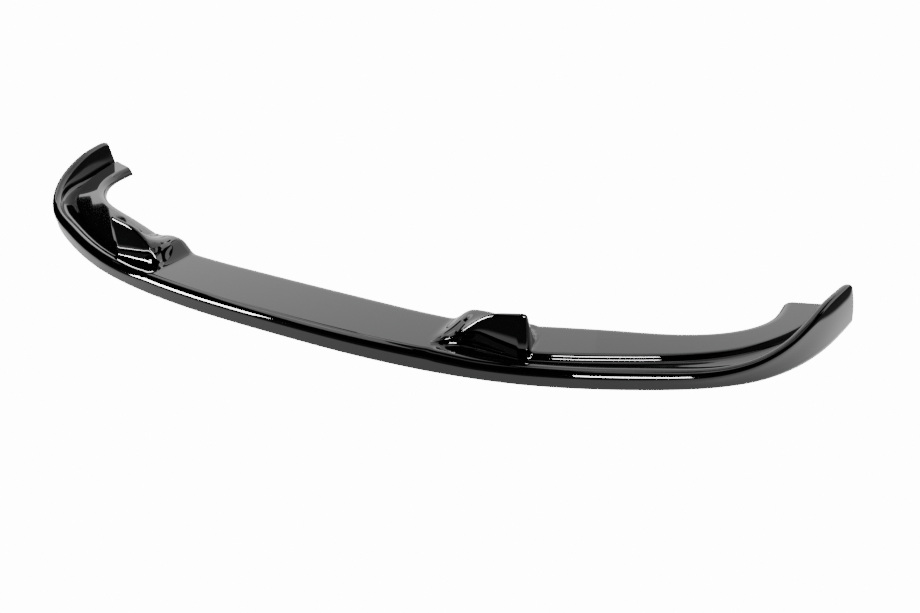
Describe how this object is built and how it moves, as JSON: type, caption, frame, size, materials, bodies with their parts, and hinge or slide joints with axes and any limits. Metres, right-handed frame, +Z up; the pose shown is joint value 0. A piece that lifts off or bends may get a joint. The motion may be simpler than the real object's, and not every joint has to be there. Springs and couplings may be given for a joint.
{
  "type": "front splitter lip",
  "caption": "Front splitter lip: a curved shelf with a rounded front skirt, raised ramp pods and upright winglets at its ends.",
  "frame": {"origin": "bottom centre of the part's box", "axes": "+X across the car, +Y from the front edge back to the car, +Z up"},
  "size_m": [1.78, 0.494, 0.1015],
  "materials": {
    "splitter_lip": "gloss"
  },
  "bodies": {
    "root": {"splitter_lip": "splitter_lip"}
  },
  "joints": []
}
